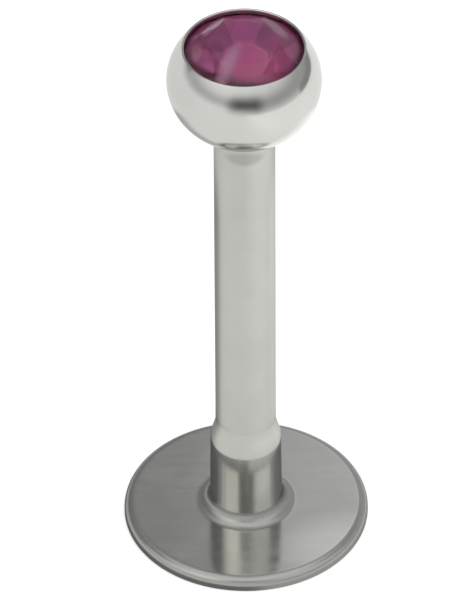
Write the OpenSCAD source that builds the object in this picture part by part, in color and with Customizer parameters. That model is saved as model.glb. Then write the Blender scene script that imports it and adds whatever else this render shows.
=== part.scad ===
// Labret stud: a thin flat disc with a post welded to it, and a jewelled ball on the post's tip.
// Millimetres. The disc lies on z = 0, the post's axis is +Z, and the origin is under the disc.

/* [Disc] */
// Diameter of the disc
disc_d = 4.85; // [4:0.05:6]
// Thickness of the disc where its top meets the rounded rim
disc_edge_t = 0.28; // [0.22:0.01:0.36]
// How much higher the disc's top is at its middle
crown_rise = 0.02; // [0.01:0.01:0.2]
// Radius of the rounded upper edge of the rim
rim_r = 0.18; // [0.05:0.01:0.22]
// Radius of the small break under the rim
rim_break = 0.05; // [0.02:0.01:0.08]

/* [Post] */
// Diameter of the post, 16 gauge
post_d = 1.2; // [1:0.1:1.6]
// Length of post between the disc and the ball
wear_len = 9.65; // [6:0.05:14]
// How far the thicker root stands out from the post, per side
root_step = 0.1; // [0.04:0.01:0.2]
// How much wider the root is at the disc than at its top, per side
root_taper = 0.02; // [0.01:0.01:0.08]
// Height of the thicker root above the disc
root_len = 1.75; // [0.8:0.05:2.5]
// Height over which the root narrows to the post
flare_len = 0.35; // [0.2:0.05:0.8]
// Radius of the weld's fillet on the disc
weld_r = 0.25; // [0.1:0.01:0.3]
// Break on the post's shoulder
shoulder_break = 0.03; // [0.01:0.01:0.05]

/* [Tip] */
// Diameter of the tip's core, which the ball screws onto
tip_d = 0.86; // [0.7:0.02:0.9]
// Chamfer at the tip's end
tip_chamfer = 0.08; // [0.04:0.01:0.12]
// Gap all round between the tip's core and the ball's bore
bore_gap = 0.06; // [0.02:0.01:0.09]
// Gap above the tip's end
bore_end_gap = 0.06; // [0.04:0.01:0.12]

/* [Ball] */
// Width of the ball
ball_d = 3.0; // [2.8:0.1:4]
// Height the ball would have without its seats
ball_h = 2.6; // [2.4:0.1:4]
// Width of the flat ring that bears on the post, beyond the post's edge
land_w = 0.05; // [0.03:0.01:0.1]
// Countersink at the mouth of the bore
bore_sink = 0.04; // [0.02:0.01:0.05]
// Metal between the bore and the stone's seat
web_t = 0.2; // [0.15:0.01:0.4]
// Gap between the ball and the post's shoulder
shoulder_gap = 0.02; // [0.01:0.01:0.05]

/* [Bezel] */
// Width of the lip's rounded top
lip_w = 0.054; // [0.04:0.002:0.1]
// Depth of the lip's inner edge
lip_t = 0.07; // [0.05:0.01:0.12]
// How far the lip reaches over the stone's edge
lip_over = 0.03; // [0.02:0.01:0.06]
// Gap between the stone and its seat
stone_gap = 0.02; // [0.01:0.01:0.04]

/* [Stone] */
// Diameter of the stone
stone_d = 2.36; // [2:0.02:2.4]
// Width of the table's corners, as a share of the stone's diameter
table_share = 0.6; // [0.5:0.01:0.7]
// Slope of the crown's main facets, in degrees
crown_slope = 27; // [20:1:36]
// Height of the stone's girdle
girdle_t = 0.04; // [0.02:0.01:0.08]
// Slope of the pavilion's main facets, in degrees
pavilion_slope = 36; // [30:1:42]
// Width of the flat back, as a share of the stone's diameter
back_share = 0.42; // [0.3:0.01:0.6]

/* [Hidden] */

// Counts of steps along the curved outlines
turn_steps = 96;
oval_steps = 56;
crown_steps = 8;
arc_steps = 12;

// Facets round the stone, and how far the star and half facets reach
main_facets = 8;
facet_turn = 360 / main_facets;
star_share = 0.5;
lower_share = 0.72;

// Disc: the crowned top falls to disc_edge_t, and the rim's round starts at that slope
disc_r = disc_d / 2;
disc_mid_t = disc_edge_t + crown_rise;
rim_slope = atan(2 * crown_rise / (disc_r - rim_r));
rim_fit_r = min(rim_r, (disc_edge_t - rim_break) / cos(rim_slope));
crown_end = disc_r - rim_fit_r + rim_fit_r * sin(rim_slope);

// Post
post_r = post_d / 2;
root_r = post_r + root_step;
root_top = disc_mid_t + root_len;
flare_top = root_top + flare_len;
root_foot_r = root_r + root_taper;
weld_edge = root_foot_r + weld_r;

// Ball: its land bears on the shoulder, and its lip closes round the stone
land_z = disc_mid_t + wear_len;
shoulder_z = land_z - shoulder_gap;
ball_r = ball_d / 2;
ball_half = ball_h / 2;
land_r = post_r + land_w;
land_drop = oval_z(land_r);
ball_z = land_z + land_drop;
stone_r = stone_d / 2;
lip_r = stone_r - lip_over;
lip_outer_r = lip_r + lip_w;
lip_z = oval_z(lip_outer_r);
seat_r = stone_r + stone_gap;
lip_under = lip_z - lip_t;
seat_top = lip_under - (seat_r - lip_r) * tan(crown_slope);

// Stone, measured from the ball's centre as the lip is
girdle_top = lip_under - stone_gap - lip_over * tan(crown_slope);
girdle_low = girdle_top - girdle_t;
table_r = stone_r * table_share;
table_z = girdle_top + (stone_r - table_r) * tan(crown_slope);
star_r = main_edge(table_r) + star_share * (stone_r - main_edge(table_r));
star_z = girdle_top + (stone_r - main_edge(star_r)) * tan(crown_slope);
back_r = stone_r * back_share;
back_z = girdle_low - (stone_r - main_edge(back_r)) * tan(pavilion_slope);
lower_r = stone_r + lower_share * (back_r - stone_r);
lower_z = girdle_low - (stone_r - main_edge(lower_r)) * tan(pavilion_slope);

// Seat under the stone, which clears the edges between its lower mains, and the bore under it
floor_z = back_z - stone_gap;
floor_r = back_r + stone_gap;
seat_low = floor_z + main_edge(seat_r - floor_r) * tan(pavilion_slope);
bore_r = tip_d / 2 + bore_gap;
bore_top = floor_z - web_t;
tip_r = tip_d / 2;
tip_z = ball_z + bore_top - bore_end_gap;

// The stone's corners, ring by ring, and the place where each ring starts in the list of them
table_ring = ring(main_facets, table_r, 0, table_z);
star_ring = ring(main_facets, star_r, facet_turn / 2, star_z);
girdle_ring = ring(2 * main_facets, stone_r, 0, girdle_top);
low_ring = ring(2 * main_facets, stone_r, 0, girdle_low);
tip_ring = ring(main_facets, lower_r, facet_turn / 2, lower_z);
back_ring = ring(main_facets, back_r, facet_turn / 2, back_z);
star_at = main_facets;
girdle_at = 2 * main_facets;
low_at = 4 * main_facets;
lower_at = 6 * main_facets;
back_at = 7 * main_facets;

// Height of the ball's outline above its centre, at radius r
function oval_z(r) = ball_half * sqrt(1 - pow(r / ball_r, 2));

// Height of the disc's crowned top at radius r
function crown_z(r) = disc_edge_t + crown_rise * (1 - pow(r / crown_end, 2));

// Points on an arc about c, from angle a0 to a1
function arc(c, r, a0, a1) =
    [for (i = [0 : arc_steps]) let (a = a0 + (a1 - a0) * i / arc_steps) c + r * [cos(a), sin(a)]];

// Distance from the axis to the middle of a main facet whose corners lie at radius r
function main_edge(r) = r * cos(facet_turn / 2);

// Corners of a level ring of the stone, the first one turned by the angle a
function ring(count, r, a, z) =
    [for (i = [0 : count - 1]) [r * cos(a + i * 360 / count), r * sin(a + i * 360 / count), z]];

// Numbers of the stone's corners: each wraps round its ring
function table_pt(i) = i % main_facets;
function star_pt(i) = star_at + (i + main_facets) % main_facets;
function girdle_pt(j) = girdle_at + j % (2 * main_facets);
function low_pt(j) = low_at + j % (2 * main_facets);
function lower_pt(i) = lower_at + (i + main_facets) % main_facets;
function back_pt(i) = back_at + (i + main_facets) % main_facets;

// Main, star and two half facets of the crown, at place i round the stone
function crown_faces(i) = [
    [table_pt(i), star_pt(i), girdle_pt(2 * i), star_pt(i - 1)],
    [table_pt(i), table_pt(i + 1), star_pt(i)],
    [star_pt(i), girdle_pt(2 * i + 1), girdle_pt(2 * i)],
    [star_pt(i), girdle_pt(2 * i + 2), girdle_pt(2 * i + 1)]];

// One flat of the girdle
function girdle_face(j) = [girdle_pt(j), girdle_pt(j + 1), low_pt(j + 1), low_pt(j)];

// Main and two half facets of the pavilion, at place i round the stone
function pavilion_faces(i) = [
    [low_pt(2 * i), lower_pt(i), back_pt(i), back_pt(i - 1), lower_pt(i - 1)],
    [lower_pt(i), low_pt(2 * i), low_pt(2 * i + 1)],
    [lower_pt(i), low_pt(2 * i + 1), low_pt(2 * i + 2)]];

// Disc, weld, root, post and tip, turned as one piece
module disc_post() {
    rim = concat(
        arc([disc_r - rim_break, rim_break], rim_break, -90, 0),
        arc([disc_r - rim_fit_r, disc_edge_t - rim_fit_r * cos(rim_slope)], rim_fit_r, 0, 90 - rim_slope));
    crown = [for (i = [1 : crown_steps - 1])
        let (r = crown_end + (weld_edge - crown_end) * i / crown_steps) [r, crown_z(r)]];
    weld = arc([weld_edge, crown_z(weld_edge) + weld_r], weld_r, 270, 180);
    flare = [[root_r, root_top], [post_r, flare_top]];
    shoulder = [[post_r, shoulder_z - shoulder_break], [post_r - shoulder_break, shoulder_z]];
    tip = [[tip_r, shoulder_z], [tip_r, tip_z - tip_chamfer], [tip_r - tip_chamfer, tip_z]];
    color([0.76, 0.76, 0.74])
        rotate_extrude($fn = turn_steps)
            polygon(concat([[0, 0]], rim, crown, weld, flare, shoulder, tip, [[0, tip_z]]));
}

// Ball with its lip, the stone's seat and the bore for the tip
module bezel_ball() {
    low = -acos(land_r / ball_r);
    high = acos(lip_outer_r / ball_r);
    oval = [for (i = [0 : oval_steps])
        let (a = low + (high - low) * i / oval_steps) [ball_r * cos(a), ball_half * sin(a)]];
    lip = arc([lip_r + lip_w / 2, lip_z], lip_w / 2, 15, 180);
    seat = [[lip_r, lip_under], [seat_r, seat_top], [seat_r, seat_low], [floor_r, floor_z]];
    web = [[0, floor_z], [0, bore_top]];
    bore = [[bore_r, bore_top], [bore_r, bore_sink - land_drop], [bore_r + bore_sink, -land_drop]];
    color([0.82, 0.82, 0.81])
        translate([0, 0, ball_z])
            rotate_extrude($fn = turn_steps)
                polygon(concat(oval, lip, seat, web, bore));
}

// Cut stone: a table, stars, mains and halves over the girdle, and mains, halves and a back under it
module stone() {
    color([0.55, 0.2, 0.38])
        translate([0, 0, ball_z])
            polyhedron(
                points = concat(table_ring, star_ring, girdle_ring, low_ring, tip_ring, back_ring),
                faces = concat(
                    [[for (i = [main_facets - 1 : -1 : 0]) i]],
                    [for (i = [0 : main_facets - 1]) each crown_faces(i)],
                    [for (j = [0 : 2 * main_facets - 1]) girdle_face(j)],
                    [for (i = [0 : main_facets - 1]) each pavilion_faces(i)],
                    [[for (i = [0 : main_facets - 1]) back_at + i]]));
}

disc_post();
bezel_ball();
stone();
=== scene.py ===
"""Looks of a labret stud: a disc welded to a post, a ball screwed onto its tip and a stone set in the ball.

The stud is modelled in millimetres and brought to metres last. The disc lies on z = 0 and the post is +Z.
The camera stands on the side of -Y, so the right of its side is +X.
"""

import logging
import math
from dataclasses import dataclass, field
from enum import Enum, IntEnum

import bmesh
import bpy
from mathutils import Matrix, Quaternion, Vector


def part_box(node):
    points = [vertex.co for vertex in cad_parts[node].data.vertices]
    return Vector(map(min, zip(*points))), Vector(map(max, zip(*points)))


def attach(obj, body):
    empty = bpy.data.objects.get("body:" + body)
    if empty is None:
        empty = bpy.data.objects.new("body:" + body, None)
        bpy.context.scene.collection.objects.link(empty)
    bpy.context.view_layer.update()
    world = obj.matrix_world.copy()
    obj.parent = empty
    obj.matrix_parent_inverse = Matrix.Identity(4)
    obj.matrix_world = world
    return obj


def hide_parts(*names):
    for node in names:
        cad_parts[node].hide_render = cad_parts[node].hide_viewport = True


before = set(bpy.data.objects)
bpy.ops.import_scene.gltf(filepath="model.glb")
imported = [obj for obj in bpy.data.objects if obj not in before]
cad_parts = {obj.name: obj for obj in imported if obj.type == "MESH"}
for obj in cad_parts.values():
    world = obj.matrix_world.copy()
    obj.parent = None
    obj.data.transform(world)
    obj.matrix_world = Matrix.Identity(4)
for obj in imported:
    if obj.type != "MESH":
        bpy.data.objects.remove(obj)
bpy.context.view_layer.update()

log = logging.getLogger("stud")

MM = 0.001

# Fineness of the turned pieces, and when corners count as one and edges as sharp
TURN_STEPS = 192
DEGREES_PER_CORNER = 5.0
FEWEST_ARC_STEPS = 3
MERGE_MM = 1e-4
SHARP_DEGREES = 32.0

# Radius of the post, and height and half depth of the spots on the stone's crown, in millimetres
POST_R = 0.6
SPOT_Z = 12.0
SPOT_DEPTH = 1.0

Pair = tuple[float, float]
Triple = tuple[float, float, float]
Colour = Triple
Socket = bpy.types.NodeSocket

WHITE: Colour = (1.0, 1.0, 1.0)


class Body(Enum):
    """Bodies that a piece can ride on."""

    POST = "post"
    BALL = "ball"


class Slot(Enum):
    """Material slots of the record."""

    POST = "post_steel"
    BALL = "ball_steel"
    STONE = "stone"


class Grain(Enum):
    """Ways the polishing marks run, as the scale of the noise along x, y and z."""

    LENGTHWISE = (1.0, 1.0, 0.05)
    ACROSS = (0.12, 1.0, 1.0)
    EVEN = (1.0, 1.0, 1.0)


class PostFinish(IntEnum):
    """Material numbers of the faces of the disc and the post."""

    POST = 0
    DISC = 1
    WELD = 2
    RIM = 3


class StoneFinish(IntEnum):
    """Material numbers of the faces of the stone."""

    GLASS = 0
    FOIL = 1


class NodeTree:
    """Node tree of a material or of the world, with short calls to add and join nodes."""

    def __init__(self, owner: bpy.types.ID) -> None:
        """Empties the owner's tree."""
        owner.use_nodes = True
        self.tree = owner.node_tree
        self.tree.nodes.clear()

    def add(self, kind: str, inputs: dict[str | int, object] | None = None,
            **settings: object) -> bpy.types.Node:
        """Adds a node.

        Args:
            kind: The node's type, without its ShaderNode prefix.
            inputs: Values, or sockets to join, by the input's name or number.
            **settings: The node's own settings.

        Returns:
            The node.
        """
        node = self.tree.nodes.new("ShaderNode" + kind)
        for name, value in settings.items():
            setattr(node, name, value)
        for name, value in (inputs or {}).items():
            if isinstance(value, Socket):
                self.tree.links.new(value, node.inputs[name])
            else:
                node.inputs[name].default_value = value
        return node

    def place(self) -> Socket:
        """Object coordinates."""
        return self.add("TexCoord").outputs["Object"]

    def axes(self, vector: Socket) -> bpy.types.NodeOutputs:
        """Outputs X, Y and Z of a vector."""
        return self.add("SeparateXYZ", {"Vector": vector}).outputs

    def math(self, operation: str, *values: Socket | float) -> Socket:
        """Output of a Math node."""
        return self.add("Math", dict(enumerate(values)), operation=operation).outputs[0]

    def mix(self, share: Socket, under: Socket | Colour, over: Colour, label: str = "") -> Socket:
        """Lays one colour over another.

        Args:
            share: Share of the upper colour.
            under: The lower colour, or its socket.
            over: The upper colour.
            label: What the upper colour stands for.

        Returns:
            The mixed colour's socket.
        """
        lower = under if isinstance(under, Socket) else (*under, 1.0)
        node = self.add("Mix", {"Factor": share, "A": lower, "B": (*over, 1.0)}, data_type="RGBA",
                        label=label)
        return node.outputs["Result"]

    def ease(self, value: Socket, low: float, high: float, to_low: float = 0.0,
             to_high: float = 1.0) -> Socket:
        """Takes a value smoothly from one range to another.

        Args:
            value: The value's socket.
            low: Lower end of its range.
            high: Upper end of its range.
            to_low: What the lower end becomes.
            to_high: What the upper end becomes.

        Returns:
            The new value's socket.
        """
        node = self.add("MapRange", {"Value": value, "From Min": low, "From Max": high, "To Min": to_low,
                                     "To Max": to_high}, interpolation_type="SMOOTHSTEP")
        return node.outputs["Result"]

    def ramp(self, value: Socket, stops: dict[float, Colour]) -> Socket:
        """Turns a value into a colour.

        Args:
            value: The value's socket.
            stops: Colours by their place along the ramp.

        Returns:
            The colour's socket.
        """
        node = self.add("ValToRGB", {"Fac": value})
        places = sorted(stops)
        elements = node.color_ramp.elements
        for element, place in zip(elements, places, strict=True):
            element.position = place
            element.color = (*stops[place], 1.0)
        return node.outputs["Color"]

    def sideways(self, axes: bpy.types.NodeOutputs) -> Socket:
        """Angle of a place or direction to the right of the camera's side, in radians."""
        return self.math("ARCTAN2", axes["X"], self.math("MULTIPLY", axes["Y"], -1.0))

    def within(self, angle: Socket, span: Pair, soft: float) -> Socket:
        """Tells whether an angle lies in a span.

        Args:
            angle: The angle, in radians.
            span: Ends of the span, in degrees.
            soft: Width of the fade at each end, in degrees.

        Returns:
            A socket that is 1 inside the span and 0 outside.
        """
        away = self.math("SUBTRACT", angle, math.radians(sum(span) / 2))
        away = self.math("ABSOLUTE", self.math("WRAP", away, math.pi, -math.pi))
        half, fade = math.radians(span[1] - span[0]) / 2, math.radians(soft) / 2
        return self.ease(away, half - fade, half + fade, 1.0, 0.0)


@dataclass(frozen=True)
class Finish:
    """A named finish. Each kind of finish has its own shader."""

    name: str

    def shader(self, t: NodeTree) -> bpy.types.Node:
        """Makes the shader.

        Args:
            t: The material's node tree.

        Returns:
            The shader's node.
        """
        raise NotImplementedError

    def material(self) -> bpy.types.Material:
        """Makes a material of the finish.

        Returns:
            The new material.
        """
        made = bpy.data.materials.new(self.name)
        t = NodeTree(made)
        t.add("OutputMaterial", {"Surface": self.shader(t).outputs[0]})
        return made


@dataclass(frozen=True)
class Spot:
    """A soft-edged oval spot in a finish.

    Its place and half sizes are in millimetres, its turn about +Z is in degrees, and soft is the share of
    its half size over which it fades, inward and outward.
    """

    name: str
    middle: Triple
    half: Triple
    tint: Colour
    turn: float = 0.0
    soft: float = 0.4

    def over(self, t: NodeTree, place: Socket, colour: Socket | Colour) -> Socket:
        """Lays the spot over a colour.

        Args:
            t: The material's node tree.
            place: Object coordinates.
            colour: The colour under it.

        Returns:
            The mixed colour's socket.
        """
        own = t.add("Mapping", {"Vector": place, "Location": tuple(v * MM for v in self.middle),
                                "Rotation": (0.0, 0.0, math.radians(self.turn)),
                                "Scale": tuple(v * MM for v in self.half)}, vector_type="TEXTURE")
        away = t.add("VectorMath", {0: own.outputs["Vector"]}, operation="LENGTH").outputs["Value"]
        share = t.ease(away, 1.0 - self.soft, 1.0 + self.soft, 1.0, 0.0)
        return t.mix(share, colour, self.tint, self.name)


def crown_spot(name: str, middle: Pair, half: Pair, tint: Colour, turn: float = 0.0,
               soft: float = 0.4) -> Spot:
    """Makes a spot that goes right through the stone's crown.

    Args:
        name: What the spot is.
        middle: Its x and y.
        half: Its half sizes along them.
        tint: Its colour.
        turn: Its turn about +Z, in degrees.
        soft: Share of its half size over which it fades.

    Returns:
        The spot.
    """
    return Spot(name, (*middle, SPOT_Z), (*half, SPOT_DEPTH), tint, turn, soft)


@dataclass(frozen=True)
class Steel(Finish):
    """Polished steel, with faint marks of the polishing wheel and soft clouds of a duller tone.

    haze is the roughness where the steel is least and most worn, and mark_depth is in millimetres.
    haze_and_painted_light_lean is how far the clouds give way to the bright tone with each millimetre along
    +X, partly haze and partly painted light from the right. The spots laid over the tone are painted shade
    and painted light, part of it haze. edge_share is the tint of what the steel mirrors at a glancing
    angle, as a share of white.
    """

    tone: Colour
    haze: Pair
    grain: Grain
    marks_per_mm: float = 6.0
    marks_detail: float = 5.0
    marks_rough: float = 0.6
    mark_depth: float = 0.00004
    cloud_per_mm: float = 0.9
    cloud_detail: float = 3.0
    cloud_tone: float = 0.94
    haze_and_painted_light_lean: float = 0.0
    contrast: Pair = (0.35, 0.65)
    edge_share: float = 0.6
    painted_light_and_haze_spots: tuple[Spot, ...] = ()

    def tones(self, t: NodeTree, place: Socket, cloud: Socket) -> Socket:
        """Colours the steel.

        Args:
            t: The material's node tree.
            place: Object coordinates.
            cloud: Noise of the clouds.

        Returns:
            The colour's socket.
        """
        # Painted light: lighter along +X, partly haze and partly light falling from the right
        lean = t.math("MULTIPLY", t.axes(place)["X"], self.haze_and_painted_light_lean / MM)
        dull = tuple(c * self.cloud_tone for c in self.tone)
        low, high = self.contrast
        tone = t.ramp(t.math("ADD", cloud, lean), {low: dull, high: self.tone})
        # Spots of painted shade and painted light, some of them haze, laid over the tone
        for painted_spot in self.painted_light_and_haze_spots:
            tone = painted_spot.over(t, place, tone)
        return tone

    def shader(self, t: NodeTree) -> bpy.types.Node:
        """Makes the shader.

        Args:
            t: The material's node tree.

        Returns:
            The shader's node.
        """
        place = t.place()
        lines = t.add("Mapping", {"Vector": place, "Scale": self.grain.value}).outputs["Vector"]
        marks = t.add("TexNoise", {"Vector": lines, "Scale": self.marks_per_mm / MM,
                                   "Detail": self.marks_detail,
                                   "Roughness": self.marks_rough}).outputs["Fac"]
        cloud = t.add("TexNoise", {"Vector": place, "Scale": self.cloud_per_mm / MM,
                                   "Detail": self.cloud_detail}).outputs["Fac"]
        worn = t.math("DIVIDE", t.math("ADD", marks, cloud), 2.0)
        bump = t.add("Bump", {"Height": marks, "Strength": 1.0, "Distance": self.mark_depth * MM})
        return t.add("BsdfPrincipled", {
            "Base Color": self.tones(t, place, cloud), "Metallic": 1.0,
            "Roughness": t.ease(worn, *self.contrast, *self.haze),
            "Specular Tint": (self.edge_share,) * 3 + (1.0,), "Normal": bump.outputs["Normal"]})


@dataclass(frozen=True)
class Glass(Finish):
    """Clear coloured glass for the stone's crown, with painted paler and darker reflections of its facets.
    """

    tint: Colour
    tint_and_painted_reflections: tuple[Spot, ...]
    bend: float = 1.54

    def shader(self, t: NodeTree) -> bpy.types.Node:
        """Makes the shader.

        Args:
            t: The material's node tree.

        Returns:
            The shader's node.
        """
        place = t.place()
        tone: Socket | Colour = self.tint
        for spot in self.tint_and_painted_reflections:
            tone = spot.over(t, place, tone)
        return t.add("BsdfPrincipled", {"Base Color": tone, "Roughness": 0.0, "IOR": self.bend,
                                        "Transmission Weight": 1.0})


@dataclass(frozen=True)
class Foil(Finish):
    """Coloured mirror foil behind the stone's pavilion."""

    tint: Colour
    haze: float

    def shader(self, t: NodeTree) -> bpy.types.Node:
        """Makes the shader.

        Args:
            t: The material's node tree.

        Returns:
            The shader's node.
        """
        return t.add("BsdfPrincipled", {"Base Color": (*self.tint, 1.0), "Metallic": 1.0,
                                        "Roughness": self.haze})


@dataclass(frozen=True)
class Paper(Finish):
    """Matt white paper that glows a little, so that shadows on it stay faint."""

    tone: float = 0.85
    haze: float = 0.9
    gloss: float = 0.1
    glow: float = 0.45

    def shader(self, t: NodeTree) -> bpy.types.Node:
        """Makes the shader.

        Args:
            t: The material's node tree.

        Returns:
            The shader's node.
        """
        return t.add("BsdfPrincipled", {
            "Base Color": (self.tone,) * 3 + (1.0,), "Roughness": self.haze,
            "Specular IOR Level": self.gloss, "Emission Color": (*WHITE, 1.0),
            "Emission Strength": self.glow})


@dataclass
class Outline:
    """Half outline of a turned piece, as radius and height in millimetres."""

    corners: list[Pair] = field(default_factory=list)

    def to(self, r: float, z: float) -> "Outline":
        """Adds a corner and returns the outline itself."""
        self.corners.append((r, z))
        return self

    def arc(self, r: float, z: float, radii: Pair, start: float, end: float) -> "Outline":
        """Adds a round stretch.

        Args:
            r: Radius at which its centre lies.
            z: Height of its centre.
            radii: Its half width and half height.
            start: Angle of its first corner, in degrees, 0 outward and 90 up.
            end: Angle of its last corner.

        Returns:
            The outline itself.
        """
        steps = max(FEWEST_ARC_STEPS, math.ceil(abs(end - start) / DEGREES_PER_CORNER))
        for i in range(steps + 1):
            a = math.radians(start + (end - start) * i / steps)
            self.to(r + radii[0] * math.cos(a), z + radii[1] * math.sin(a))
        return self

    def turned(self) -> bmesh.types.BMesh:
        """Spins the outline round the axis.

        Returns:
            A closed mesh, in millimetres.
        """
        bm = bmesh.new()
        chain = [bm.verts.new((r, 0, z)) for r, z in self.corners]
        edges = [bm.edges.new(pair) for pair in zip(chain, chain[1:])]
        bmesh.ops.spin(bm, geom=chain + edges, cent=(0, 0, 0), axis=(0, 0, 1), dvec=(0, 0, 0),
                       angle=math.tau, steps=TURN_STEPS, use_merge=True, use_duplicate=False)
        bmesh.ops.remove_doubles(bm, verts=bm.verts, dist=MERGE_MM)
        bmesh.ops.recalc_face_normals(bm, faces=bm.faces)
        return bm


def finished(bm: bmesh.types.BMesh, name: str, finishes: list[Finish],
             smooth: bool = True) -> bpy.types.Object:
    """Brings a mesh to metres and makes it an object at the origin.

    Args:
        bm: The mesh, in millimetres. It is freed.
        name: The piece's name.
        finishes: Its finishes, in the order of the faces' material numbers.
        smooth: Whether its round stretches shade smoothly.

    Returns:
        The new object.
    """
    bmesh.ops.scale(bm, vec=(MM, MM, MM), verts=bm.verts)
    mesh = bpy.data.meshes.new(name)
    bm.to_mesh(mesh)
    bm.free()
    for finish in finishes:
        mesh.materials.append(finish.material())
    if smooth:
        mesh.shade_smooth()
        mesh.set_sharp_from_angle(angle=math.radians(SHARP_DEGREES))
    piece = bpy.data.objects.new(name, mesh)
    bpy.context.scene.collection.objects.link(piece)
    return piece


def box_mm(node: str) -> tuple[Vector, Vector]:
    """Lowest and highest corner of a CAD node, in millimetres."""
    low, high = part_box(node)
    return low / MM, high / MM


@dataclass
class DiscPost:
    """The thin disc, the post welded to it and the threaded tip. Sizes are in millimetres.

    The half widths of the thread's ridge at its base and at its crest are shares of its pitch, and its
    steps are counted in each turn.
    """

    edge_t: float = 0.28
    crown_rise: float = 0.02
    crown_corners: int = 20
    rim_r: float = 0.18
    rim_break: float = 0.05
    post_r: float = POST_R
    root_step: float = 0.1
    root_taper: float = 0.02
    root_len: float = 1.75
    flare_len: float = 0.35
    flare_ease: float = 0.12
    weld_r: float = 0.25
    shoulder_gap: float = 0.02
    shoulder_break: float = 0.03
    tip_r: float = 0.43
    tip_chamfer: float = 0.08
    thread_out: float = 0.045
    thread_sunk: float = 0.02
    thread_pitch: float = 0.25
    thread_base: float = 0.38
    thread_crest: float = 0.08
    thread_steps: int = 64
    # The post's spot under the ball is painted shade, where the ball shades the top of the post
    steel: Steel = Steel(
        "post_polish", (0.535, 0.535, 0.51), (0.11, 0.17), Grain.LENGTHWISE,
        painted_light_and_haze_spots=(Spot("painted_shade_under_ball", (0.0, -0.6, 9.62), (0.35, 0.4, 0.15), (0.40, 0.40, 0.38)),))
    # Lighter towards +X and in a patch on the lower right: partly haze, partly painted light from the right
    disc_steel: Steel = Steel(
        "disc_polish", (0.71, 0.71, 0.69), (0.13, 0.2), Grain.ACROSS, cloud_tone=0.88, haze_and_painted_light_lean=0.12,
        painted_light_and_haze_spots=(Spot("painted_light_and_haze_patch", (1.6, -1.3, 0.3), (0.85, 0.55, 1.0), (0.95, 0.95, 0.93), 30.0, 0.8),))
    weld_satin: Steel = Steel("weld_satin", (0.47, 0.47, 0.455), (0.30, 0.38), Grain.EVEN)
    rim_satin: Steel = Steel("rim_satin", (0.47, 0.47, 0.455), (0.26, 0.34), Grain.EVEN)

    def __post_init__(self) -> None:
        """Takes the disc's radius, the shoulder and the tip from the frame, and works out the rest."""
        _, high = box_mm("disc_post")
        ball_low, _ = box_mm("bezel_ball")
        self.disc_r, self.tip_z = high.x, high.z
        self.shoulder_z = ball_low.z - self.shoulder_gap
        self.rim_inner = self.disc_r - self.rim_r
        self.rim_slope = math.atan(2 * self.crown_rise / self.rim_inner)
        self.crown_end = self.rim_inner + self.rim_r * math.sin(self.rim_slope)
        self.crown_top = self.edge_t + self.crown_rise
        self.root_r = self.post_r + self.root_step
        self.foot_r = self.root_r + self.root_taper
        self.weld_edge = self.foot_r + self.weld_r

    def crown_z(self, r: float) -> float:
        """Height of the disc's crowned top at a radius."""
        return self.edge_t + self.crown_rise * (1 - (r / self.crown_end) ** 2)

    def outline(self) -> Outline:
        """Draws the welded piece, from under the disc to the tip's end.

        Returns:
            Its outline.
        """
        line = Outline().to(0, 0)
        line.arc(self.disc_r - self.rim_break, self.rim_break, (self.rim_break,) * 2, -90, 0)
        line.arc(self.rim_inner, self.edge_t - self.rim_r * math.cos(self.rim_slope), (self.rim_r,) * 2,
                 0, 90 - math.degrees(self.rim_slope))
        for i in range(1, self.crown_corners):
            r = self.crown_end + (self.weld_edge - self.crown_end) * i / self.crown_corners
            line.to(r, self.crown_z(r))
        line.arc(self.weld_edge, self.crown_z(self.weld_edge) + self.weld_r, (self.weld_r,) * 2, 270, 180)
        lean, ease = self.root_step / self.flare_len, self.flare_ease
        root_top = self.crown_top + self.root_len
        flare_top = root_top + self.flare_len
        line.to(self.root_r, root_top - ease).to(self.root_r, root_top)
        line.to(self.root_r - lean * ease, root_top + ease)
        line.to(self.post_r + lean * ease, flare_top - ease).to(self.post_r, flare_top)
        line.to(self.post_r, flare_top + ease)
        line.arc(self.post_r - self.shoulder_break, self.shoulder_z - self.shoulder_break,
                 (self.shoulder_break,) * 2, 0, 90)
        line.to(self.tip_r, self.shoulder_z).to(self.tip_r, self.tip_z - self.tip_chamfer)
        return line.to(self.tip_r - self.tip_chamfer, self.tip_z).to(0, self.tip_z)

    def finish_at(self, middle: Vector) -> PostFinish:
        """Chooses the finish of a face.

        Args:
            middle: The face's middle.

        Returns:
            Its finish.
        """
        r, z = middle.xy.length, middle.z
        if self.root_r < r < self.weld_edge and self.edge_t < z < self.crown_top + self.weld_r:
            return PostFinish.WELD
        if r > self.rim_inner:
            return PostFinish.RIM
        return PostFinish.DISC if r > self.foot_r or z < self.edge_t else PostFinish.POST

    def body(self) -> bpy.types.Object:
        """Turns the welded piece and dresses it.

        Returns:
            The disc and the post.
        """
        bm = self.outline().turned()
        for face in bm.faces:
            face.material_index = self.finish_at(face.calc_center_median())
        finishes = {PostFinish.POST: self.steel, PostFinish.DISC: self.disc_steel,
                    PostFinish.WELD: self.weld_satin, PostFinish.RIM: self.rim_satin}
        return finished(bm, "disc_and_post", [finishes[number] for number in PostFinish])

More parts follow.
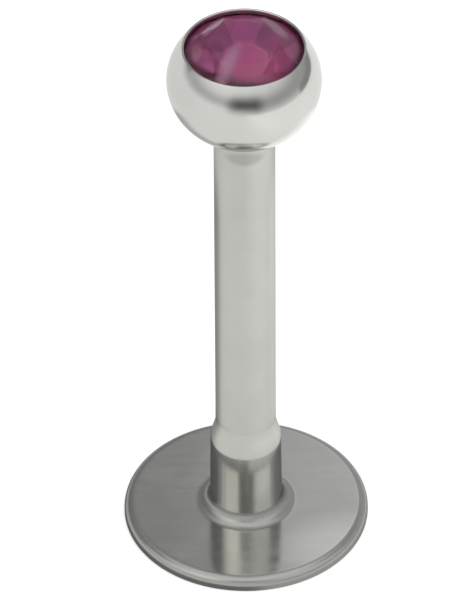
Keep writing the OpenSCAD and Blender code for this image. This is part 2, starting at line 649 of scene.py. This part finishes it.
    def thread(self) -> bpy.types.Object:
        """Winds the thread's ridge round the tip's core.

        Returns:
            The ridge.
        """
        base_r, crest_r = self.tip_r - self.thread_sunk, self.tip_r + self.thread_out
        base, crest = self.thread_base * self.thread_pitch, self.thread_crest * self.thread_pitch
        start = self.shoulder_z + base
        length = self.tip_z - self.tip_chamfer - base - start
        turns = length / self.thread_pitch
        steps = round(turns * self.thread_steps)
        bm = bmesh.new()
        corners = [(base_r, -base), (crest_r, -crest), (crest_r, crest), (base_r, base)]
        ring = [bm.verts.new((r, 0, start + z)) for r, z in corners]
        edges = [bm.edges.new(pair) for pair in zip(ring, ring[1:] + ring[:1])]
        bmesh.ops.spin(bm, geom=ring + edges, cent=(0, 0, 0), axis=(0, 0, 1),
                       dvec=(0, 0, length / steps), angle=math.tau * turns, steps=steps,
                       use_merge=False, use_duplicate=False)
        bmesh.ops.holes_fill(bm, edges=[e for e in bm.edges if e.is_boundary], sides=len(corners))
        bmesh.ops.recalc_face_normals(bm, faces=bm.faces)
        return finished(bm, "tip_thread", [self.steel])

    def build(self) -> list[bpy.types.Object]:
        """Makes the pieces that ride on the post, and stands the first for its CAD node.

        Returns:
            The pieces.
        """
        body, thread = self.body(), self.thread()
        for piece in (body, thread):
            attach(piece, Body.POST.value)
        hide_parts("disc_post")
        return [body, thread]


@dataclass(frozen=True)
class Cut:
    """The stone's cut: its slopes in degrees, its girdle in millimetres and shares of its radius."""

    mains: int = 8
    table_share: float = 0.6
    star_share: float = 0.5
    crown_slope: float = 27.0
    girdle_t: float = 0.04
    pavilion_slope: float = 36.0
    back_share: float = 0.42
    lower_share: float = 0.72

    def crown_rise(self, reach: float) -> float:
        """Rise of the crown over a stretch of radius."""
        return reach * math.tan(math.radians(self.crown_slope))

    def pavilion_drop(self, reach: float) -> float:
        """Drop of the pavilion over a stretch of radius."""
        return reach * math.tan(math.radians(self.pavilion_slope))

    def inset(self) -> float:
        """Share of its corners' radius at which the flat side of a ring of mains lies."""
        return math.cos(math.pi / self.mains)


@dataclass
class BezelBall:
    """The flattened ball, its bore, the stone's seat and the lip that closes round it, in millimetres."""

    half_h: float = 1.3
    lip_w: float = 0.054
    lip_t: float = 0.07
    lip_over: float = 0.03
    lip_turn: float = 38.0
    lip_ease: float = 0.08
    stone_gap: float = 0.02
    web_t: float = 0.2
    land_w: float = 0.05
    post_r: float = POST_R
    bore_r: float = 0.49
    bore_sink: float = 0.04
    cut: Cut = Cut()
    steel: Steel = Steel("ball_polish", (0.63, 0.63, 0.61), (0.12, 0.17), Grain.EVEN, edge_share=0.9)

    def __post_init__(self) -> None:
        """Takes the ball's radius and place, and the stone's, from the frame."""
        low, high = box_mm("bezel_ball")
        stone_low, stone_high = box_mm("stone")
        self.ball_r = high.x
        self.land_r = self.post_r + self.land_w
        self.mid_z = low.z + self.height(self.land_r)
        self.stone_r = stone_high.x
        self.floor_z = stone_low.z - self.stone_gap

    def height(self, r: float) -> float:
        """Height of the ball's surface above its middle, at a radius."""
        return self.half_h * math.sqrt(1 - (r / self.ball_r) ** 2)

    def angle(self, r: float) -> float:
        """Angle on the ball's outline at a radius, in degrees above its middle."""
        return math.degrees(math.acos(r / self.ball_r))

    def outline(self) -> Outline:
        """Draws the ball, from the seat over the lip and down to the bore.

        Returns:
            Its outline.
        """
        lip_r = self.stone_r - self.lip_over
        lip_outer = lip_r + self.lip_w
        lip_z = self.mid_z + self.height(lip_outer)
        under = lip_z - self.lip_t
        seat_r = self.stone_r + self.stone_gap
        seat_top = under - self.cut.crown_rise(seat_r - lip_r)
        floor_r = self.stone_r * self.cut.back_share + self.stone_gap
        seat_low = self.floor_z + self.cut.pavilion_drop((seat_r - floor_r) * self.cut.inset())
        bore_top = self.floor_z - self.web_t
        land_z = self.mid_z - self.height(self.land_r)
        line = Outline().to(0, self.floor_z).to(floor_r, self.floor_z)
        line.to(seat_r, seat_low).to(seat_r, seat_top).to(lip_r, under)
        line.arc(lip_r + self.lip_w / 2, lip_z, (self.lip_w / 2,) * 2, 180, self.lip_turn)
        line.arc(0, self.mid_z, (self.ball_r, self.half_h), self.angle(lip_outer + self.lip_ease),
                 -self.angle(self.land_r))
        line.to(self.bore_r + self.bore_sink, land_z).to(self.bore_r, land_z + self.bore_sink)
        return line.to(self.bore_r, bore_top).to(0, bore_top)

    def build(self) -> list[bpy.types.Object]:
        """Makes the ball and stands it for its CAD node.

        Returns:
            The ball.
        """
        ball = finished(self.outline().turned(), "jewel_ball", [self.steel])
        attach(ball, Body.BALL.value)
        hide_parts("bezel_ball")
        return [ball]


# The stone's body colour, then painted reflections and painted highlights of its facets, and a near-black
# band at its front edge; each spot lies over those before it
CROWN_TINT_AND_PAINTED_REFLECTIONS = (
    crown_spot("body", (-0.01, 0.10), (1.06, 0.98), (0.50, 0.10, 0.31), soft=0.07),
    crown_spot("purple_back", (0.0, 0.36), (0.55, 0.34), (0.38, 0.075, 0.27)),
    crown_spot("pink_tip", (0.12, -0.26), (0.24, 0.30), (0.75, 0.12, 0.33)),
    crown_spot("pink_front", (0.16, -0.60), (0.54, 0.36), (1.0, 0.15, 0.37)),
    crown_spot("purple_left", (-0.53, -0.29), (0.16, 0.36), (0.28, 0.05, 0.15)),
    crown_spot("brown_left", (-0.90, -0.12), (0.09, 0.26), (0.66, 0.32, 0.34)),
    crown_spot("dark_right", (0.75, -0.25), (0.18, 0.34), (0.60, 0.09, 0.28)),
    crown_spot("painted_highlight_streak", (-0.28, -0.54), (0.12, 0.42), (1.0, 0.88, 0.84), -20.0, 0.7),
    crown_spot("front_ring", (0.0, -1.13), (0.75, 0.12), (0.02, 0.003, 0.004)),
    crown_spot("painted_highlight_upper_left", (-0.62, 0.57), (0.30, 0.10), WHITE, 63.0),
    # Painted highlight on the crown's upper right
    crown_spot("upper_right", (0.60, 0.57), (0.38, 0.12), WHITE, -60.0),
)


@dataclass
class Stone:
    """The round stone, its crown clear and all below its girdle foiled. Its sizes come from the frame.

    flat_degrees is the bend under which the hull's triangles join into one facet. A facet whose normal
    points down by more than foil_from is foiled.
    """

    cut: Cut = Cut()
    flat_degrees: float = 0.3
    foil_from: float = 0.1
    glass: Glass = Glass("stone_glass", (0.045, 0.006, 0.012), CROWN_TINT_AND_PAINTED_REFLECTIONS)
    foil: Foil = Foil("stone_foil", (0.97, 0.85, 0.92), 0.42)

    def ring(self, bm: bmesh.types.BMesh, r: float, z: float, per_main: int = 1,
             shifted: bool = False) -> None:
        """Adds a level ring of corners.

        Args:
            bm: The stone's mesh.
            r: Radius of the corners.
            z: Their height.
            per_main: How many of them each main has.
            shifted: Whether they are turned by half a main.
        """
        turn = math.pi / self.cut.mains if shifted else 0.0
        place = Matrix.Translation((0, 0, z)) @ Matrix.Rotation(turn, 4, "Z")
        bmesh.ops.create_circle(bm, cap_ends=False, segments=per_main * self.cut.mains, radius=r,
                                matrix=place)

    def shape(self) -> bmesh.types.BMesh:
        """Cuts the stone, as the hull of its rings of corners.

        Returns:
            Its mesh, in millimetres, with the foil's faces marked.
        """
        low, high = box_mm("stone")
        cut, inset, r = self.cut, self.cut.inset(), high.x
        table_r, back_r = r * cut.table_share, r * cut.back_share
        star_r = table_r * inset + cut.star_share * (r - table_r * inset)
        lower_r = r + cut.lower_share * (back_r - r)
        girdle_z = high.z - cut.crown_rise(r - table_r)
        low_z = girdle_z - cut.girdle_t
        bm = bmesh.new()
        self.ring(bm, table_r, high.z)
        self.ring(bm, star_r, girdle_z + cut.crown_rise(r - star_r * inset), shifted=True)
        self.ring(bm, r, girdle_z, per_main=2)
        self.ring(bm, r, low_z, per_main=2)
        self.ring(bm, lower_r, low_z - cut.pavilion_drop(r - lower_r * inset), shifted=True)
        self.ring(bm, back_r, low.z, shifted=True)
        bmesh.ops.convex_hull(bm, input=bm.verts)
        bmesh.ops.dissolve_limit(bm, angle_limit=math.radians(self.flat_degrees), verts=bm.verts,
                                 edges=bm.edges)
        bmesh.ops.recalc_face_normals(bm, faces=bm.faces)
        for face in bm.faces:
            foiled = face.normal.z < -self.foil_from
            face.material_index = StoneFinish.FOIL if foiled else StoneFinish.GLASS
        return bm

    def build(self) -> list[bpy.types.Object]:
        """Makes the stone and stands it for its CAD node.

        Returns:
            The stone.
        """
        finishes = {StoneFinish.GLASS: self.glass, StoneFinish.FOIL: self.foil}
        stone = finished(self.shape(), "set_stone", [finishes[number] for number in StoneFinish],
                         smooth=False)
        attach(stone, Body.BALL.value)
        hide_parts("stone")
        return [stone]


@dataclass(frozen=True)
class Card:
    """A soft-edged patch of the light tent, in degrees: right of the camera's side, and up."""

    name: str
    across: Pair
    up: Pair
    glow: float
    soft: float
    tint: Colour = WHITE

    def over(self, t: NodeTree, turn: Socket, rise: Socket, light: Socket | Colour) -> Socket:
        """Lays the patch over the light.

        Args:
            t: The world's node tree.
            turn: The direction's angle to the right of the camera's side, in radians.
            rise: Its angle above the horizon.
            light: The light under it.

        Returns:
            The light's socket.
        """
        share = t.math("MULTIPLY", t.within(turn, self.across, self.soft),
                       t.within(rise, self.up, self.soft))
        return t.mix(share, light, tuple(c * self.glow for c in self.tint), self.name)


# Each card lies over those before it
TENT_CARDS = (
    Card("left_line", (-180, 10), (6, 22), 0.58, 14),
    Card("right_line", (10, 160), (-3, 24), 0.46, 24),
    Card("right_gap", (86, 170), (-21, 4), 0.32, 8),
    Card("back_wall", (100, 260), (10, 58), 0.26, 8),
    Card("back_wall_right", (100, 180), (10, 58), 0.56, 4),
    Card("upper_dim", (84, 276), (38, 56), 0.31, 5),
    Card("back_left", (180, 200), (30, 52), 0.26, 4),
    Card("back_right", (160, 180), (30, 52), 0.56, 4),
    Card("upper_right", (26, 84), (39, 56), 0.80, 5),
    Card("warm_lamp", (-66, -24), (37, 56), 1.4, 7, (1.0, 0.965, 0.89)),
)


@dataclass(frozen=True)
class Shade:
    """A soft shade on the sheet, in degrees round the stud and millimetres from its axis.

    depth is the share of the light that it takes away, and below 0 it adds light.
    """

    name: str
    across: Pair
    reach: Pair
    depth: float
    soft: float

    def over(self, t: NodeTree, turn: Socket, far: Socket, light: Socket) -> Socket:
        """Lays the shade over the light.

        Args:
            t: The sheet's node tree.
            turn: Angle to the right of the camera's side, in radians.
            far: Distance from the axis, in metres.
            light: The light under it.

        Returns:
            The light's socket.
        """
        near = t.ease(far, self.reach[0] * MM, self.reach[1] * MM, 1.0, 0.0)
        share = t.math("MULTIPLY", t.within(turn, self.across, self.soft), near)
        left = t.math("SUBTRACT", 1.0, t.math("MULTIPLY", share, self.depth))
        shaded = t.add("Math", {0: light, 1: left}, operation="MULTIPLY", label=self.name)
        return shaded.outputs[0]


SHADES = (
    Shade("stud", (200, 252), (10.2, 12.0), 0.42, 40),
    Shade("right_glow", (110, 172), (10.0, 12.0), -0.25, 40),
    Shade("disc_left", (-190, 10), (2.75, 3.4), 0.75, 20),
    Shade("disc_right", (10, 170), (2.75, 3.4), 0.4, 20),
)


@dataclass(frozen=True)
class LitSheet(Finish):
    """White sheet that glows, from the darker end of its glow to the brighter one along a stretch of x."""

    tint: Colour = (1.0, 1.0, 0.985)
    glow: Pair = (0.97, 1.12)
    brightens: Pair = (-0.002, 0.010)
    shades: tuple[Shade, ...] = SHADES

    def shader(self, t: NodeTree) -> bpy.types.Node:
        """Makes the shader.

        Args:
            t: The material's node tree.

        Returns:
            The shader's node.
        """
        axes = t.axes(t.place())
        turn = t.sideways(axes)
        squares = (t.math("POWER", axes[axis], 2.0) for axis in ("X", "Y"))
        far = t.math("SQRT", t.math("ADD", *squares))
        glow = t.ease(axes["X"], *self.brightens, *self.glow)
        for shade in self.shades:
            glow = shade.over(t, turn, far, glow)
        return t.add("Emission", {"Color": (*self.tint, 1.0), "Strength": glow})


@dataclass(frozen=True)
class FadedPaint(Finish):
    """Dark paint on an upright card, which fades to clear at the card's edges. Places are in metres."""

    across: Pair
    up: Pair
    fade: float = 0.008
    glow: float = 0.10

    def shader(self, t: NodeTree) -> bpy.types.Node:
        """Makes the shader.

        Args:
            t: The material's node tree.

        Returns:
            The shader's node.
        """
        axes = t.axes(t.place())
        shares = []
        for axis, span in (("X", self.across), ("Z", self.up)):
            away = t.math("ABSOLUTE", t.math("SUBTRACT", axes[axis], sum(span) / 2))
            half = (span[1] - span[0]) / 2
            shares.append(t.ease(away, half - self.fade, half, 1.0, 0.0))
        dark = t.add("Emission", {"Color": (*WHITE, 1.0), "Strength": self.glow})
        clear = t.add("BsdfTransparent")
        return t.add("MixShader", {0: t.math("MULTIPLY", *shares), 1: clear.outputs[0],
                                   2: dark.outputs[0]})


@dataclass
class Viewpoint:
    """The photograph's camera, in metres and degrees, with its lens in millimetres.

    sight is how near and how far it sees.
    """

    elevation: float = 40.95
    distance: float = 0.190
    roll: float = -0.33
    sight: Pair = (0.01, 10.0)
    lens: float = 583.3
    aim_height: float = 0.0058
    aim_aside: float = -0.000199
    aim_down: float = 0.000203

    def build(self) -> None:
        """Places the camera in front of the stud, about 41 degrees up."""
        e = math.radians(self.elevation)
        back = Vector((0, -math.cos(e), math.sin(e)))
        up = Vector((0, math.sin(e), math.cos(e)))
        aim = Vector((self.aim_aside, 0, self.aim_height)) - up * self.aim_down
        data = bpy.data.cameras.new("camera")
        data.lens = self.lens
        data.clip_start, data.clip_end = self.sight
        camera = bpy.data.objects.new("camera", data)
        camera.location = aim + back * self.distance
        camera.rotation_mode = "QUATERNION"
        roll = Quaternion((0, 0, 1), math.radians(self.roll))
        camera.rotation_quaternion = (-back).to_track_quat("-Z", "Y") @ roll
        bpy.context.scene.collection.objects.link(camera)
        bpy.context.scene.camera = camera


@dataclass
class Floor:
    """The wide floor that the camera sees, and under it the lit sheet that the stud mirrors, in metres."""

    wide_r: float = 4.0
    wide_sides: int = 4
    sheet_r: float = 0.09
    sheet_sides: int = 96
    sheet_drop: float = 0.00002
    paper: Paper = Paper("white_paper")
    lit: LitSheet = LitSheet("lit_sheet")

    def level(self, name: str, sides: int, r: float, z: float, finish: Finish) -> bpy.types.Object:
        """Lays a level sheet on the stage.

        Args:
            name: Its name.
            sides: How many sides it has.
            r: Its radius.
            z: Its height.
            finish: Its finish.

        Returns:
            The sheet.
        """
        bm = bmesh.new()
        bmesh.ops.create_circle(bm, cap_ends=True, segments=sides, radius=r / MM,
                                matrix=Matrix.Translation((0, 0, z / MM)))
        sheet = finished(bm, name, [finish], smooth=False)
        return sheet

    def build(self) -> None:
        """Lays the floor for the camera alone, and the sheet for the stud alone."""
        wide = self.level("wide_floor", self.wide_sides, self.wide_r, 0.0, self.paper)
        wide.visible_glossy = wide.visible_diffuse = False
        wide.visible_transmission = wide.visible_shadow = False
        sheet = self.level("sheet", self.sheet_sides, self.sheet_r, -self.sheet_drop, self.lit)
        sheet.visible_camera = False


@dataclass
class DarkCard:
    """A dark card before the stud, seen only where the stud mirrors it. Its places are in metres."""

    across: Pair = (-0.0110, 0.0120)
    up: Pair = (0.0075, 0.0233)
    y: float = -0.018

    def build(self) -> None:
        """Stands the card upright."""
        middle = Vector((sum(self.across) / 2, self.y, sum(self.up) / 2)) / MM
        width, height = ((span[1] - span[0]) / MM for span in (self.across, self.up))
        upright = Matrix.Rotation(math.radians(90), 4, "X") @ Matrix.Diagonal((width, height, 1, 1))
        bm = bmesh.new()
        bmesh.ops.create_grid(bm, x_segments=1, y_segments=1, size=0.5,
                              matrix=Matrix.Translation(middle) @ upright)
        card = finished(bm, "dark_card", [FadedPaint("dark_card", self.across, self.up)], smooth=False)
        card.visible_camera = card.visible_diffuse = False
        card.visible_transmission = card.visible_shadow = False


@dataclass
class Softbox:
    """A large soft light above and to the right, in metres and watts, which the stud doesn't mirror."""

    power: float = 0.35
    side: float = 0.25
    place: Triple = (0.12, -0.06, 0.40)

    def build(self) -> None:
        """Hangs the light, turned to the stud."""
        data = bpy.data.lights.new("softbox", "AREA")
        data.shape, data.size, data.energy = "SQUARE", self.side, self.power
        lamp = bpy.data.objects.new("softbox", data)
        lamp.location = self.place
        lamp.rotation_mode = "QUATERNION"
        lamp.rotation_quaternion = (-Vector(self.place)).to_track_quat("-Z", "Y")
        lamp.visible_camera = lamp.visible_glossy = False
        bpy.context.scene.collection.objects.link(lamp)


@dataclass
class Tent:
    """The light tent round the stud, with its cards."""

    glow: float = 0.98
    cards: tuple[Card, ...] = TENT_CARDS

    def build(self) -> None:
        """Hangs the cards in order, and shows plain white to the camera."""
        world = bpy.data.worlds.new("light_tent")
        bpy.context.scene.world = world
        t = NodeTree(world)
        axes = t.axes(t.add("TexCoord").outputs["Generated"])
        turn, rise = t.sideways(axes), t.math("ARCSINE", axes["Z"])
        light: Socket | Colour = (self.glow,) * 3
        for card in self.cards:
            light = card.over(t, turn, rise, light)
        seen = t.add("LightPath").outputs["Is Camera Ray"]
        shown = t.add("Background", {"Color": t.mix(seen, light, WHITE)})
        t.add("OutputWorld", {"Surface": shown.outputs[0]})


@dataclass
class Studio:
    """The camera, the floor and the lights."""

    viewpoint: Viewpoint = field(default_factory=Viewpoint)
    floor: Floor = field(default_factory=Floor)
    dark_card: DarkCard = field(default_factory=DarkCard)
    softbox: Softbox = field(default_factory=Softbox)
    tent: Tent = field(default_factory=Tent)
    view_transform: str = "Standard"

    def build(self) -> None:
        """Sets up each part of the studio."""
        for part in (self.viewpoint, self.floor, self.dark_card, self.softbox, self.tent):
            part.build()
        bpy.context.scene.view_settings.view_transform = self.view_transform


def main() -> None:
    """Builds the studio and the stud's pieces, and reports each piece."""
    logging.basicConfig(level=logging.INFO, format="%(message)s")
    Studio().build()
    for assembly in (DiscPost(), BezelBall(), Stone()):
        for piece in assembly.build():
            log.info("%s: %d faces", piece.name, len(piece.data.polygons))


if __name__ == "__main__":
    main()
